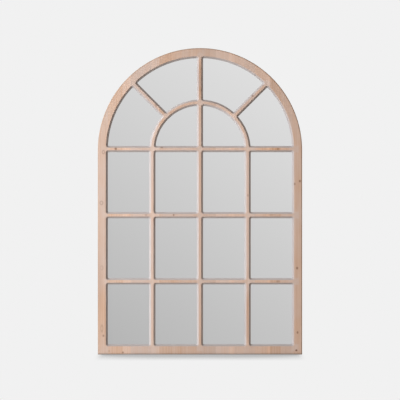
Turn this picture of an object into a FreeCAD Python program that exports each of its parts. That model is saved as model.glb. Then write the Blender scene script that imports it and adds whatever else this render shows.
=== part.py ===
import FreeCAD, Part
import math
import os
import re
import Sketcher

# An arched window mirror: a softwood frame with a half-round head, a grid of bevelled
# glazing bars, and one sheet of mirror glass behind them.
#
# +Z is up, +X is to the right as one faces the mirror, and the front looks along -Y.
# The origin is the middle of the edge that stands on the floor. A depth is measured
# backwards from the front face, and a height upwards from the floor or, on the pieces
# of the arch, from the arch's centre.

# The sizes that can be set, in millimetres and degrees
sizes = {
    "overall_width": 1000,
    "overall_height": 1500,
    "outer_round": 5,
    # the members, as wide as they are at the glass
    "stile_width": 48,
    "rail_width": 49,
    "bar_width": 30,
    # the panes of the two lower rows: the row above them reaches up to the springing bar,
    # whose middle is a little way above the arch's centre
    "pane_height": 294,
    "springing_rise": 6,
    "spoke_angle": 45,
    # the routed edge of each opening: a square lip at the glass, a bevel, an eased arris
    "lip_depth": 6,
    "bevel_fall": 12,
    "bevel_run": 9,
    "ease_fall": 0.8,
    "ease_angle": 55,
    "corner_radius": 4,
    # the layers behind the bars, and how far each is let into the frame
    "glass_thickness": 4,
    "foam_thickness": 2,
    "board_thickness": 6,
    "glass_bite": 10,
    "board_bite": 21,
    "edge_clearance": 0.8,
    # the joints
    "arch_foot": 40,
    "arch_pieces": 5,
    "tenon_length": 12,
    "tenon_width": 20,
    "tenon_thickness": 8,
    "tenon_setback": 6,
    "dowel_radius": 4,
    "dowel_length": 56,
    "dowel_depth": 9,
    "dowel_edge": 14,
    "dowel_pitch": 20,
    # the screws of the backing board
    "board_screw_length": 16,
    "board_screw_radius": 1.75,
    "board_screw_head": 3.5,
    "board_screw_first": 110,
    "board_screw_pitch": 250,
    "rail_screw_pitch": 300,
    # the hangers
    "hanger_height": 900,
    "hanger_inset": 16.5,
    "strap_width": 14,
    "strap_length": 50,
    "strap_thickness": 1.2,
    "strap_fold": 7.4,
    "ring_wire": 3.2,
    "ring_width": 27.2,
    "ring_corner": 4,
    "ring_play": 0.1,
    "ring_lift": 0.3,
    "strap_screw_length": 18,
    "strap_screw_radius": 1.75,
    "strap_screw_head": 3.4,
    "strap_screw_head_height": 2.2,
    "strap_screw_first": 25,
    "strap_screw_pitch": 16,
    # the bumpers at the foot of the back
    "bumper_radius": 9,
    "bumper_height": 5,
    "bumper_up": 70,
    # how far a cutter runs past what it cuts
    "overshoot": 1,
}

# What follows from them
worked_out = {
    "bar_depth": "lip_depth + bevel_fall",
    "board_front": "bar_depth + glass_thickness + foam_thickness",
    "frame_depth": "board_front + board_thickness",
    "back": "frame_depth / 2",
    "half_width": "overall_width / 2",
    "half_bar": "bar_width / 2",
    "half_tenon": "tenon_width / 2",
    "tenon_back": "tenon_setback + tenon_thickness",
    "arch_height": "overall_height - half_width",
    "arch_inner": "half_width - stile_width",
    "column_pitch": "(overall_width - 2 * stile_width + bar_width) / 4",
    "pane_width": "column_pitch - bar_width",
    "row_pitch": "pane_height + bar_width",
    "lower_bar_height": "rail_width + pane_height + half_bar",
    "middle_bar_height": "lower_bar_height + row_pitch",
    "springing_bar_height": "arch_height + springing_rise",
    "springing_foot": "springing_bar_height - half_bar",
    "springing_top": "springing_rise + half_bar",
    "web": "half_bar + corner_radius",
    "piece_angle": "180 / arch_pieces",
    "ledge_middle": "arch_inner + (glass_bite + board_bite) / 2",
    "eye_inner": "ring_wire / 2 + ring_play",
    "eye_outer": "eye_inner + strap_thickness",
    "ring_reach": "ring_width / 2 + ring_corner",
    "ring_lean": "asin((2 * strap_thickness + ring_lift + ring_wire / 2 - eye_outer) / ring_reach)",
}

document = FreeCAD.newDocument("ArchedWindowMirror")
sheet = document.addObject("Spreadsheet::Sheet", "Sizes")
for row, (alias, value) in enumerate(sizes.items(), start=1):
    sheet.set(f"A{row}", alias)
    sheet.set(f"B{row}", str(value))
    sheet.setAlias(f"B{row}", alias)
document.recompute()


def formula(words):
    """Writes a formula in plain words as one that names the cells of the sheet."""
    def look_up(match):
        word = match.group()
        if word in worked_out:
            return "(" + formula(worked_out[word]) + ")"
        if word in sizes:
            return "Sizes." + word
        return word
    return re.sub("[a-z_]+", look_up, words)


def number(words):
    """Gives what a formula comes to at the present sizes."""
    result = sheet.evalExpression(formula(words))
    return float(getattr(result, "Value", result))


def bind(item, size, words):
    item.setExpression(size, formula(words))


# Sketches. An outline is a list of its sides, in order. Each side is a level line, an
# upright, a ray that leaves the origin at an angle and lies a distance aside of it to
# its left, an arc about the origin, or the flank that such an arc runs into.

def straight_side(side):
    """Gives a point on a straight side, and its direction."""
    kind, size = side[:2]
    if kind == "level":
        return FreeCAD.Vector(0, number(size), 0), FreeCAD.Vector(1, 0, 0)
    if kind in ("upright", "flank"):
        return FreeCAD.Vector(number(size), 0, 0), FreeCAD.Vector(0, 1, 0)
    angle = math.radians(number(size))
    along = FreeCAD.Vector(math.cos(angle), math.sin(angle), 0)
    return FreeCAD.Vector(-along.y, along.x, 0) * number(side[2]), along


def corner_between(side, other):
    """Finds where two sides meet: an arc is met on the straight side's forward half."""
    if side[0] == "arc":
        side, other = other, side
    point, along = straight_side(side)
    if other[0] == "arc":
        back = point.dot(along)
        square = number(other[1]) ** 2 - point.dot(point) + back ** 2
        return point + along * (math.sqrt(max(square, 0)) - back)
    other_point, other_along = straight_side(other)
    gap = other_point - point
    turn = along.x * other_along.y - along.y * other_along.x
    return point + along * ((gap.x * other_along.y - gap.y * other_along.x) / turn)


def dimension(sketch, name, words, constraint):
    """Adds a dimension that follows the sheet."""
    place = sketch.addConstraint(constraint)
    sketch.renameConstraint(place, name)
    bind(sketch, "Constraints." + name, words)


def arc_about(centre, radius, start, end):
    """Makes the shorter arc from start to end, and says which of its ends is first."""
    first = math.atan2(start.y - centre.y, start.x - centre.x)
    last = math.atan2(end.y - centre.y, end.x - centre.x)
    sweep = (last - first) % (2 * math.pi)
    circle = Part.Circle(centre, FreeCAD.Vector(0, 0, 1), radius)
    if sweep > math.pi + 1e-6:
        return Part.ArcOfCircle(circle, last, first), 2
    return Part.ArcOfCircle(circle, first, first + sweep), 1


def draw_outline(sketch, sides):
    """Draws a closed outline and dimensions each of its sides."""
    count = len(sides)
    corners = [corner_between(sides[place - 1], sides[place]) for place in range(count)]
    first_ends = []
    for place, side in enumerate(sides):
        start = corners[place]
        end = corners[(place + 1) % count]
        if side[0] == "arc":
            curve, first_end = arc_about(FreeCAD.Vector(), number(side[1]), start, end)
        else:
            curve, first_end = Part.LineSegment(start, end), 1
        sketch.addGeometry(curve, False)
        first_ends.append(first_end)
    for place, side in enumerate(sides):
        after = (place + 1) % count
        join = Sketcher.Constraint("Coincident", place, 3 - first_ends[place], after, first_ends[after])
        sketch.addConstraint(join)
        if "flank" in (side[0], sides[after][0]) and "arc" in (side[0], sides[after][0]):
            sketch.addConstraint(Sketcher.Constraint("PointOnObject", place, 3 - first_ends[place], -1))
    for place, side in enumerate(sides):
        kind, size = side[:2]
        name = f"{kind}_{place}"
        if kind == "arc":
            sketch.addConstraint(Sketcher.Constraint("Coincident", place, 3, -1, 1))
            dimension(sketch, name, size, Sketcher.Constraint("Radius", place, number(size)))
        elif kind == "level":
            sketch.addConstraint(Sketcher.Constraint("Horizontal", place))
            height = Sketcher.Constraint("DistanceY", -1, 1, place, 1, number(size))
            dimension(sketch, name, size, height)
        elif kind == "upright":
            sketch.addConstraint(Sketcher.Constraint("Vertical", place))
            across = Sketcher.Constraint("DistanceX", -1, 1, place, 1, number(size))
            dimension(sketch, name, size, across)
        elif kind == "flank":
            sketch.addConstraint(Sketcher.Constraint("Vertical", place))
        else:
            point, along = straight_side(side)
            run = corners[(place + 1) % count] - corners[place]
            turned = size if run.dot(along) > 0 else f"{size} - 180"
            angle = Sketcher.Constraint("Angle", place, math.radians(number(turned)))
            dimension(sketch, name, turned, angle)
            aside = number(side[2])
            if aside == 0:
                sketch.addConstraint(Sketcher.Constraint("PointOnObject", -1, 1, place))
            else:
                gap = Sketcher.Constraint("Distance", -1, 1, place, abs(aside))
                dimension(sketch, name + "_aside", f"abs({side[2]})", gap)


def draw_polygon(sketch, points):
    """Draws a closed polygon whose points are each given across and up."""
    places = [FreeCAD.Vector(number(across), number(up), 0) for across, up in points]
    count = len(points)
    for place in range(count):
        sketch.addGeometry(Part.LineSegment(places[place], places[(place + 1) % count]), False)
    for place, (across, up) in enumerate(points):
        spot = places[place]
        from_left = Sketcher.Constraint("DistanceX", -1, 1, place, 1, spot.x)
        from_below = Sketcher.Constraint("DistanceY", -1, 1, place, 1, spot.y)
        sketch.addConstraint(Sketcher.Constraint("Coincident", (place - 1) % count, 2, place, 1))
        dimension(sketch, f"across_{place}", across, from_left)
        dimension(sketch, f"up_{place}", up, from_below)


def draw_circle(sketch, radius, across="0", up="0"):
    """Draws a circle about a point that is given across and up."""
    centre = FreeCAD.Vector(number(across), number(up), 0)
    circle = Part.Circle(centre, FreeCAD.Vector(0, 0, 1), number(radius))
    place = sketch.addGeometry(circle, False)
    dimension(sketch, "across", across, Sketcher.Constraint("DistanceX", -1, 1, place, 3, centre.x))
    dimension(sketch, "up", up, Sketcher.Constraint("DistanceY", -1, 1, place, 3, centre.y))
    dimension(sketch, "radius", radius, Sketcher.Constraint("Radius", place, number(radius)))


def oblong(left, right, bottom, top):
    """Gives the sides of an oblong."""
    return [("level", bottom), ("upright", right), ("level", top), ("upright", left)]


# Bodies and their features

def new_body(name, across="0", deep="0", up="0", turn=None, axis=(0, 1, 0)):
    """Starts a body whose own origin lies at a place, turned about an axis through it."""
    body = document.addObject("PartDesign::Body", name)
    if turn is not None:
        rotation = FreeCAD.Rotation(FreeCAD.Vector(*axis), number(turn))
        body.Placement = FreeCAD.Placement(FreeCAD.Vector(), rotation)
        bind(body, "Placement.Rotation.Angle", turn)
    bind(body, "Placement.Base.x", across)
    bind(body, "Placement.Base.y", deep)
    bind(body, "Placement.Base.z", up)
    return body


def origin_feature(body, role):
    for feature in body.Origin.OriginFeatures:
        if feature.Role == role:
            return feature
    raise ValueError(role)


def sketch_on(body, role, offset="0"):
    """Starts a sketch on a plane of the body, moved along that plane's normal."""
    sketch = body.newObject("Sketcher::SketchObject", body.Name + "_sketch")
    sketch.AttachmentSupport = [(origin_feature(body, role), "")]
    sketch.MapMode = "FlatFace"
    bind(sketch, "AttachmentOffset.Base.z", offset)
    return sketch


def slab(body, sides, front, back):
    """Adds an outline of wood or glass between two depths."""
    sketch = sketch_on(body, "XZ_Plane", f"frame_depth / 2 - ({back})")
    draw_outline(sketch, sides)
    pad = body.newObject("PartDesign::Pad", body.Name + "_slab")
    pad.Profile = sketch
    bind(pad, "Length", f"({back}) - ({front})")
    document.recompute()
    return pad


def pocket(body, sides, front, back):
    """Cuts an outline away between two depths."""
    before = body.Shape.Volume
    sketch = sketch_on(body, "XZ_Plane", f"frame_depth / 2 - ({front})")
    draw_outline(sketch, sides)
    cut_away = body.newObject("PartDesign::Pocket", body.Name + "_pocket")
    cut_away.Profile = sketch
    bind(cut_away, "Length", f"({back}) - ({front})")
    document.recompute()
    if not cut_away.Shape.Volume < before:
        raise ValueError(f"{cut_away.Name} cuts nothing")


def dress(body, kind, size, words, chosen):
    """Rounds or chamfers the edges of the body's last feature that are chosen."""
    base = body.Tip
    edges = [f"Edge{place}" for place, edge in enumerate(base.Shape.Edges, start=1) if chosen(edge)]
    feature = body.newObject("PartDesign::" + kind, body.Name + "_" + kind.lower())
    feature.Base = (base, edges)
    bind(feature, size, words)
    document.recompute()
    return feature


def pattern(body, kind, originals, **settings):
    """Repeats features of the body."""
    feature = body.newObject("PartDesign::" + kind, body.Name + "_" + kind.lower())
    feature.Originals = originals
    for name, value in settings.items():
        setattr(feature, name, value)
    body.Tip = feature
    return feature


def mirrored(name, source):
    """Makes the left-hand twin of a right-hand piece."""
    twin = document.addObject("Part::Mirroring", name)
    twin.Source = source
    twin.Normal = FreeCAD.Vector(1, 0, 0)
    return twin


def joined(name, pieces, kind="Part::MultiFuse"):
    """Makes one solid, or one group of solids, of several."""
    if len(pieces) == 1:
        return pieces[0]
    whole = document.addObject(kind, name)
    if kind == "Part::Compound":
        whole.Links = pieces
    else:
        whole.Shapes = pieces
    return whole


def cut(name, base, tool):
    difference = document.addObject("Part::Cut", name)
    difference.Base = base
    difference.Tool = tool
    difference.Refine = True
    return difference


# The openings. One cutter goes round each of them: it leaves a lip that is square to
# the glass, a bevel from the lip to the front, and an eased arris at the front face.
# Where it turns a corner it leaves a rounded web between the two members that meet.

def front_face(feature):
    """Names the face of a feature that lies nearest the front."""
    depths = [face.CenterOfMass.y for face in feature.Shape.Faces]
    return f"Face{depths.index(min(depths)) + 1}"


def opening(name, sides, across="0", up="0"):
    """Makes the solid that a router clears out of one opening."""
    body = new_body(name, across=across, up=up)
    slab(body, sides, "bevel_fall", "bar_depth")
    rounded = dress(body, "Fillet", "Radius", "corner_radius", runs_backwards)
    steps = [
        ("bevel", "bevel_fall - ease_fall", "atan(bevel_run / bevel_fall)"),
        ("ease", "ease_fall + overshoot / 2", "ease_angle"),
    ]
    last = rounded
    for step, length, angle in steps:
        flare = body.newObject("PartDesign::Pad", f"{name}_{step}")
        flare.Profile = (last, [front_face(last)])
        bind(flare, "Length", length)
        bind(flare, "TaperAngle", angle)
        document.recompute()
        last = flare
    return body


def runs_backwards(edge):
    """Says whether an edge is straight and square to the front."""
    return abs(edge.tangentAt(edge.FirstParameter).y) > 0.99


def four_panes(name, height, up):
    """Makes a row of openings, one between each bar and the next."""
    pane = opening(
        name,
        oblong("-pane_width / 2", "pane_width / 2", "0", height),
        across="-1.5 * column_pitch",
        up=up,
    )
    row = pattern(pane, "LinearPattern", [pane.Tip], TransformMode="Whole shape")
    row.Direction = (origin_feature(pane, "X_Axis"), [""])
    row.Occurrences = 4
    bind(row, "Length", "3 * column_pitch")
    return pane


pane_rows = [
    four_panes("lowest_panes", "pane_height", "rail_width"),
    four_panes("middle_panes", "pane_height", "lower_bar_height + half_bar"),
    four_panes(
        "upper_panes",
        "springing_foot - middle_bar_height - half_bar",
        "middle_bar_height + half_bar",
    ),
]

arch_openings = [
    opening(
        "lower_arch_opening",
        [
            ("level", "springing_top"),
            ("arc", "arch_inner"),
            ("ray", "spoke_angle", "-half_bar"),
            ("arc", "column_pitch + half_bar"),
        ],
        up="arch_height",
    ),
    opening(
        "upper_arch_opening",
        [
            ("ray", "spoke_angle", "half_bar"),
            ("arc", "arch_inner"),
            ("upright", "half_bar"),
            ("arc", "column_pitch + half_bar"),
        ],
        up="arch_height",
    ),
    opening(
        "quarter_opening",
        [
            ("level", "springing_top"),
            ("arc", "column_pitch - half_bar"),
            ("upright", "half_bar"),
        ],
        up="arch_height",
    ),
]


def arched(bite):
    """Gives the outline of the whole glazed area, let a little way into the frame."""
    reach = f"arch_inner + {bite}"
    return [
        ("level", f"rail_width - ({bite}) - arch_height"),
        ("flank", reach),
        ("arc", reach),
        ("flank", f"-({reach})"),
    ]


glass_rebate = new_body("glass_rebate", up="arch_height")
slab(glass_rebate, arched("glass_bite"), "bar_depth", "board_front")
board_rebate = new_body("board_rebate", up="arch_height")
slab(board_rebate, arched("board_bite"), "board_front", "frame_depth + overshoot")

left_arch_openings = [mirrored("left_" + item.Name, item) for item in arch_openings]
routing = joined(
    "routing",
    [*pane_rows, *arch_openings, *left_arch_openings, glass_rebate, board_rebate],
)

# The stock of the glazing bars, square-edged, with their tenons. An upright bar keeps
# its front half where a level bar crosses it, and the level bar keeps its back half.


def tenon(body, sides):
    """Adds a tongue that is set back from the front."""
    slab(body, sides, "tenon_setback", "tenon_back")


def halved(body, crossing_heights):
    """Notches an upright bar from behind for the level bars that cross it."""
    for height in crossing_heights:
        pocket(
            body,
            oblong(
                "-half_bar - overshoot",
                "half_bar + overshoot",
                f"{height} - half_bar",
                f"{height} + half_bar",
            ),
            "bar_depth / 2",
            "bar_depth + overshoot",
        )


centre_bar_stock = new_body("centre_bar_stock", up="arch_height")
slab(
    centre_bar_stock,
    [
        ("level", "rail_width - arch_height"),
        ("upright", "half_bar"),
        ("arc", "arch_inner"),
        ("upright", "-half_bar"),
    ],
    "0",
    "bar_depth",
)
tenon(
    centre_bar_stock,
    oblong(
        "-half_tenon",
        "half_tenon",
        "rail_width - tenon_length - arch_height",
        "arch_inner + tenon_length",
    ),
)
halved(
    centre_bar_stock,
    ["lower_bar_height - arch_height", "middle_bar_height - arch_height", "springing_rise"],
)

right_bar_stock = new_body("right_bar_stock", across="column_pitch")
slab(
    right_bar_stock,
    oblong("-half_bar", "half_bar", "rail_width", "springing_foot"),
    "0",
    "bar_depth",
)
tenon(
    right_bar_stock,
    oblong(
        "-half_tenon",
        "half_tenon",
        "rail_width - tenon_length",
        "springing_foot + bar_width / 3",
    ),
)
halved(right_bar_stock, ["lower_bar_height", "middle_bar_height"])
left_bar_stock = mirrored("left_bar_stock", right_bar_stock)

level_bar_stocks = {}
for name in ["lower_bar", "middle_bar", "springing_bar"]:
    stock = new_body(name + "_stock", up=name + "_height")
    slab(stock, oblong("-arch_inner", "arch_inner", "-web", "web"), "0", "bar_depth")
    tenon(
        stock,
        oblong("-arch_inner - tenon_length", "arch_inner + tenon_length", "-half_tenon", "half_tenon"),
    )
    level_bar_stocks[name] = stock

right_inner_arch_stock = new_body("right_inner_arch_stock", up="arch_height")
slab(
    right_inner_arch_stock,
    [
        ("level", "springing_top"),
        ("arc", "column_pitch + web"),
        ("upright", "half_bar"),
        ("arc", "column_pitch - web"),
    ],
    "0",
    "bar_depth",
)
tenon(
    right_inner_arch_stock,
    oblong(
        "column_pitch - half_tenon",
        "column_pitch + half_tenon",
        "springing_top - bar_width / 3",
        "springing_top + bar_width / 3",
    ),
)
tenon(
    right_inner_arch_stock,
    oblong("half_bar / 3", "bar_width", "column_pitch - half_tenon", "column_pitch + half_tenon"),
)
left_inner_arch_stock = mirrored("left_inner_arch_stock", right_inner_arch_stock)

right_spoke_stock = new_body("right_spoke_stock", up="arch_height", turn="90 - spoke_angle")
slab(
    right_spoke_stock,
    [
        ("arc", "column_pitch + half_bar"),
        ("upright", "half_bar"),
        ("arc", "arch_inner"),
        ("upright", "-half_bar"),
    ],
    "0",
    "bar_depth",
)
tenon(
    right_spoke_stock,
    oblong(
        "-half_tenon",
        "half_tenon",
        "column_pitch + half_bar - tenon_length",
        "arch_inner + tenon_length",
    ),
)

# The stock of the frame, with its outer arris rounded at the front


def outer_arris(reach, foot):
    """Chooses the front edges on the outside of a frame member."""
    def chosen(edge):
        if any(vertex.Y > -number("back") + 0.01 for vertex in edge.Vertexes):
            return False
        at_reach = all(reach(vertex.X, vertex.Z) for vertex in edge.Vertexes)
        at_foot = foot and all(abs(vertex.Z) < 0.01 for vertex in edge.Vertexes)
        return at_reach or at_foot
    return chosen


def on_side(across, up):
    return abs(across - number("half_width")) < 0.01


def on_arch(across, up):
    """Says whether a point is on the outer curve of the arch, or on the flank below."""
    radius = math.hypot(across, max(up, 0))
    return abs(radius - number("half_width")) < 0.01


right_stile_stock = new_body("right_stile_stock")
slab(
    right_stile_stock,
    oblong("arch_inner", "half_width", "0", "arch_height - arch_foot"),
    "0",
    "frame_depth",
)
dress(right_stile_stock, "Fillet", "Radius", "outer_round", outer_arris(on_side, foot=True))

rail_stock = new_body("rail_stock")
slab(
    rail_stock,
    oblong("-arch_inner", "arch_inner", "0", "rail_width + corner_radius"),
    "0",
    "frame_depth",
)
dress(rail_stock, "Fillet", "Radius", "outer_round", outer_arris(lambda across, up: False, foot=True))

right_foot_stock = new_body("right_foot_stock", up="arch_height")
slab(
    right_foot_stock,
    [
        ("level", "-arch_foot"),
        ("flank", "half_width"),
        ("arc", "half_width"),
        ("ray", "piece_angle", "0"),
        ("arc", "arch_inner - corner_radius"),
        ("flank", "arch_inner - corner_radius"),
    ],
    "0",
    "frame_depth",
)
dress(right_foot_stock, "Fillet", "Radius", "outer_round", outer_arris(on_arch, foot=False))


def arch_piece(name, turn):
    """Makes a middle piece of the arch, turned about the arch's centre."""
    body = new_body(name, up="arch_height", turn=turn)
    slab(
        body,
        [
            ("arc", "half_width"),
            ("ray", "90 + piece_angle / 2", "0"),
            ("arc", "arch_inner - corner_radius"),
            ("ray", "90 - piece_angle / 2", "0"),
        ],
        "0",
        "frame_depth",
    )
    dress(body, "Fillet", "Radius", "outer_round", outer_arris(on_arch, foot=False))
    return body


right_shoulder_stock = arch_piece("right_shoulder_stock", "piece_angle")
crown_stock = arch_piece("crown_stock", None)

# The dowels


def dowel_row(body, role, middle, across, up, direction):
    """Adds two dowels side by side, square to a plane and centred on it."""
    sketch = sketch_on(body, role, middle)
    draw_circle(sketch, "dowel_radius", across, up)
    peg = body.newObject("PartDesign::Pad", body.Name + "_peg")
    peg.Profile = sketch
    peg.Midplane = True
    bind(peg, "Length", "dowel_length")
    document.recompute()
    dress(body, "Chamfer", "Size", "dowel_radius / 4", lambda edge: len(edge.Vertexes) == 1)
    pair = pattern(body, "LinearPattern", [body.Tip], TransformMode="Whole shape", Occurrences=2)
    pair.Direction = (origin_feature(body, direction), [""])
    bind(pair, "Length", "dowel_pitch")
    document.recompute()


dowel_across = "dowel_depth - back"
right_corner_dowels = new_body("right_corner_dowels")
dowel_row(right_corner_dowels, "YZ_Plane", "arch_inner", dowel_across, "dowel_edge", "Z_Axis")
right_springing_dowels = new_body("right_springing_dowels")
dowel_row(
    right_springing_dowels,
    "XY_Plane",
    "arch_height - arch_foot",
    "arch_inner + dowel_edge",
    dowel_across,
    "X_Axis",
)
arch_dowels = new_body("arch_dowels", up="arch_height", turn="-90 + piece_angle")
dowel_row(arch_dowels, "YZ_Plane", "0", dowel_across, "arch_inner + dowel_edge", "Z_Axis")
round_the_arch = pattern(arch_dowels, "PolarPattern", [arch_dowels.Tip], TransformMode="Whole shape")
round_the_arch.Axis = (origin_feature(arch_dowels, "Y_Axis"), [""])
round_the_arch.Occurrences = 4
bind(round_the_arch, "Angle", "180 - 2 * piece_angle")

corner_dowels = joined(
    "corner_dowels",
    [right_corner_dowels, mirrored("left_corner_dowels", right_corner_dowels)],
    "Part::Compound",
)
springing_dowels = joined(
    "springing_dowels",
    [right_springing_dowels, mirrored("left_springing_dowels", right_springing_dowels)],
    "Part::Compound",
)

# The screws of the backing board: countersunk, and driven into the ledge it lies on


def turned_screw(body, profile, up="0"):
    """Turns a screw about its own axis, which runs from front to back."""
    sketch = sketch_on(body, "XY_Plane", up)
    draw_polygon(sketch, profile)
    turning = body.newObject("PartDesign::Revolution", body.Name + "_turning")
    turning.Profile = sketch
    turning.ReferenceAxis = (sketch, ["V_Axis"])
    turning.Angle = 360
    document.recompute()
    return turning


board_screw = [
    ("0", "back"),
    ("board_screw_head", "back"),
    ("board_screw_radius", "back - (board_screw_head - board_screw_radius)"),
    ("board_screw_radius", "back - board_screw_length + 2 * board_screw_radius"),
    ("0", "back - board_screw_length"),
]
right_stile_screws = new_body("right_stile_screws", across="ledge_middle", up="board_screw_first")
first_screw = turned_screw(right_stile_screws, board_screw)
up_the_stile = pattern(right_stile_screws, "LinearPattern", [first_screw], Occurrences=4)
up_the_stile.Direction = (origin_feature(right_stile_screws, "Z_Axis"), [""])
bind(up_the_stile, "Length", "3 * board_screw_pitch")

rail_screws = new_body(
    "rail_screws",
    across="-rail_screw_pitch",
    up="rail_width - (glass_bite + board_bite) / 2",
)
first_screw = turned_screw(rail_screws, board_screw)
along_the_rail = pattern(rail_screws, "LinearPattern", [first_screw], Occurrences=3)
along_the_rail.Direction = (origin_feature(rail_screws, "X_Axis"), [""])
bind(along_the_rail, "Length", "2 * rail_screw_pitch")

arch_screws = new_body("arch_screws", up="arch_height", turn="-90 + piece_angle / 2")
first_screw = turned_screw(arch_screws, board_screw, up="ledge_middle")
over_the_arch = pattern(arch_screws, "PolarPattern", [first_screw])
over_the_arch.Axis = (origin_feature(arch_screws, "Y_Axis"), [""])
over_the_arch.Occurrences = 5
bind(over_the_arch, "Angle", "180 - piece_angle")

left_stile_screws = mirrored("left_stile_screws", right_stile_screws)
backing_screws = joined(
    "backing_screws",
    [right_stile_screws, left_stile_screws, rail_screws, arch_screws],
    "Part::Compound",
)

# The hangers, each a steel strip folded over the straight side of a D-shaped ring and
# screwed through both of its leaves. The strap's own origin is the axis of its eye.

hanger_across = "half_width - hanger_inset"
eye_deep = "back + eye_outer"
leaf = "2 * strap_thickness - eye_outer"

right_strap = new_body("right_hanger_strap_stock", across=hanger_across, deep=eye_deep, up="hanger_height")


def across_strap(kind, draw):
    """Adds or removes a side outline over the whole width of the strap."""
    sketch = sketch_on(right_strap, "YZ_Plane")
    draw(sketch)
    feature = right_strap.newObject("PartDesign::" + kind, "strap_" + kind.lower())
    feature.Profile = sketch
    feature.Midplane = True
    bind(feature, "Length", "strap_width")
    document.recompute()


across_strap("Pad", lambda sketch: draw_polygon(sketch, [
    ("-eye_outer", "-strap_length"),
    (leaf, "-strap_length"),
    (leaf, "-strap_fold"),
    ("eye_outer", "0"),
    ("-eye_outer", "0"),
]))
across_strap("Pad", lambda sketch: draw_circle(sketch, "eye_outer"))
across_strap("Pocket", lambda sketch: draw_circle(sketch, "eye_inner"))
across_strap("Pocket", lambda sketch: draw_polygon(sketch, [
    ("-eye_inner", "-strap_fold + strap_thickness"),
    ("eye_inner", "0"),
    ("-eye_inner", "0"),
]))


def foot_corner(edge):
    """Chooses the corners at the foot of the strap."""
    return runs_backwards(edge) and edge.CenterOfMass.z < -number("strap_length") + 0.01


dress(right_strap, "Fillet", "Radius", "strap_width / 3", foot_corner)

strap_screw_head_top = "back + 2 * strap_thickness + strap_screw_head_height"
strap_screw = [
    ("0", strap_screw_head_top),
    ("strap_screw_head * 0.6", strap_screw_head_top),
    ("strap_screw_head", "back + 2 * strap_thickness + strap_screw_head_height / 3"),
    ("strap_screw_head", "back + 2 * strap_thickness"),
    ("strap_screw_radius", "back + 2 * strap_thickness"),
    ("strap_screw_radius", "back + 2 * strap_thickness - strap_screw_length + 2 * strap_screw_radius"),
    ("0", "back + 2 * strap_thickness - strap_screw_length"),
]
right_hanger_screws = new_body(
    "right_hanger_screws",
    across=hanger_across,
    up="hanger_height - strap_screw_first",
)
first_screw = turned_screw(right_hanger_screws, strap_screw)
down_the_strap = pattern(right_hanger_screws, "LinearPattern", [first_screw], Occurrences=2, Reversed=True)
down_the_strap.Direction = (origin_feature(right_hanger_screws, "Z_Axis"), [""])
bind(down_the_strap, "Length", "strap_screw_pitch")
hanger_screws = joined(
    "hanger_screws",
    [right_hanger_screws, mirrored("left_hanger_screws", right_hanger_screws)],
    "Part::Compound",
)
right_hanger_strap = cut("right_hanger_strap", right_strap, right_hanger_screws)


def bend_ring(name):
    """Bends a D-shaped ring of wire: a straight side, two tight corners and a half circle."""
    body = new_body(
        name,
        across=hanger_across,
        deep=eye_deep,
        up="hanger_height",
        turn="ring_lean",
        axis=(1, 0, 0),
    )
    corner = number("ring_corner")
    reach = number("ring_width / 2")
    straight = reach - corner
    path = sketch_on(body, "XZ_Plane")
    joints = [(straight, 0), (reach, -corner), (-reach, -corner), (-straight, 0)]
    joints = [FreeCAD.Vector(across, up, 0) for across, up in joints]
    path.addGeometry(Part.LineSegment(FreeCAD.Vector(), joints[0]), False)
    for place, centre_across in enumerate([straight, 0, -straight]):
        centre = FreeCAD.Vector(centre_across, -corner, 0)
        radius = (joints[place] - centre).Length
        bend, first_end = arc_about(centre, radius, joints[place + 1], joints[place])
        path.addGeometry(bend, False)
    path.addGeometry(Part.LineSegment(joints[3], FreeCAD.Vector()), False)
    constraints = [
        Sketcher.Constraint("Tangent", 0, 2, 1, 2),
        Sketcher.Constraint("Tangent", 1, 1, 2, 2),
        Sketcher.Constraint("Tangent", 2, 1, 3, 2),
        Sketcher.Constraint("Tangent", 3, 1, 4, 1),
        Sketcher.Constraint("Coincident", 0, 1, -1, 1),
        Sketcher.Constraint("Coincident", 4, 2, -1, 1),
        Sketcher.Constraint("Horizontal", 0),
        Sketcher.Constraint("Horizontal", 4),
        Sketcher.Constraint("Equal", 1, 3),
        Sketcher.Constraint("PointOnObject", 2, 3, -2),
        Sketcher.Constraint("Horizontal", 2, 2, 2, 3),
    ]
    path.addConstraint(constraints)
    dimension(path, "corner", "ring_corner", Sketcher.Constraint("Radius", 1, corner))
    dimension(path, "bow", "ring_width / 2", Sketcher.Constraint("Radius", 2, reach))
    section = sketch_on(body, "YZ_Plane")
    draw_circle(section, "ring_wire / 2")
    wire = body.newObject("PartDesign::AdditivePipe", name + "_wire")
    wire.Profile = section
    wire.Spine = (path, [f"Edge{place}" for place in range(1, 6)])
    document.recompute()
    return body


right_hanging_ring = bend_ring("right_hanging_ring")

# The bumpers, soft discs that keep the foot of the mirror off the wall

right_bumper = new_body("right_bumper", across=hanger_across, deep="back", up="bumper_up")
bumper_sketch = sketch_on(right_bumper, "XZ_Plane")
draw_circle(bumper_sketch, "bumper_radius")
bumper_pad = right_bumper.newObject("PartDesign::Pad", "bumper_pad")
bumper_pad.Profile = bumper_sketch
bumper_pad.Reversed = True
bind(bumper_pad, "Length", "bumper_height")
document.recompute()
dress(
    right_bumper,
    "Chamfer",
    "Size",
    "bumper_height / 4",
    lambda edge: len(edge.Vertexes) == 1 and edge.CenterOfMass.y > number("bumper_height") - 0.01,
)
wall_bumpers = joined("wall_bumpers", [right_bumper, mirrored("left_bumper", right_bumper)], "Part::Compound")

# The layers behind the bars

mirror_glass = new_body("mirror_glass", up="arch_height")
slab(mirror_glass, arched("glass_bite - edge_clearance"), "bar_depth", "bar_depth + glass_thickness")
cushion_sheet = new_body("cushion_sheet", up="arch_height")
slab(cushion_sheet, arched("glass_bite - edge_clearance"), "bar_depth + glass_thickness", "board_front")
board_stock = new_body("board_stock", up="arch_height")
slab(board_stock, arched("board_bite - edge_clearance"), "board_front", "frame_depth")
backing_board = cut("backing_board", board_stock, backing_screws)


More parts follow.
